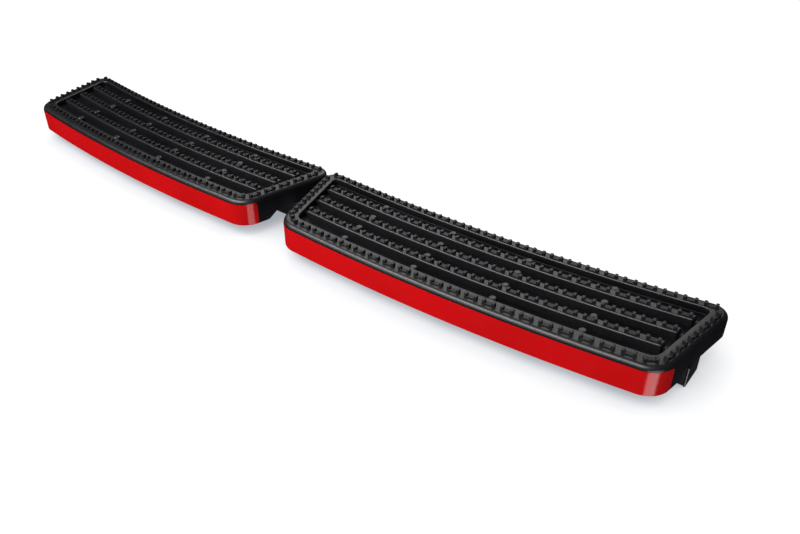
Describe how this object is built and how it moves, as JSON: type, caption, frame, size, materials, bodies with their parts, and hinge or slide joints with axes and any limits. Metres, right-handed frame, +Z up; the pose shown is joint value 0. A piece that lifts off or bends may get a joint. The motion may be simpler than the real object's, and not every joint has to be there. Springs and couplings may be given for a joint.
{
  "type": "van step",
  "caption": "Rear van step with a pair of bowed black moulded grip treads, red front bands and a steel cross beam with bolt-on chassis brackets.",
  "frame": {"origin": "middle of the step's box in plan, on the underside of the cross beam", "axes": "+X along the step to its right end, +Y from its front towards the van, +Z up"},
  "size_m": [1.2444, 0.1916, 0.067],
  "materials": {
    "black_moulding": "satin, lightly grained",
    "red_band": "gloss",
    "black_plug": "matt",
    "black_steel": "powder coated, satin"
  },
  "bodies": {
    "root": {"cross_beam": "black_steel", "left_bracket": "black_steel", "left_end_cap": "black_plug", "left_front_band": "red_band", "left_inner_gusset": "black_steel", "left_outer_gusset": "black_steel", "left_strap_1": "black_steel", "left_strap_2": "black_steel", "left_strap_3": "black_steel", "left_strap_4": "black_steel", "left_tread": "black_moulding", "right_bracket": "black_steel", "right_end_cap": "black_plug", "right_front_band": "red_band", "right_inner_gusset": "black_steel", "right_outer_gusset": "black_steel", "right_strap_1": "black_steel", "right_strap_2": "black_steel", "right_strap_3": "black_steel", "right_strap_4": "black_steel", "right_tread": "black_moulding"}
  },
  "joints": []
}
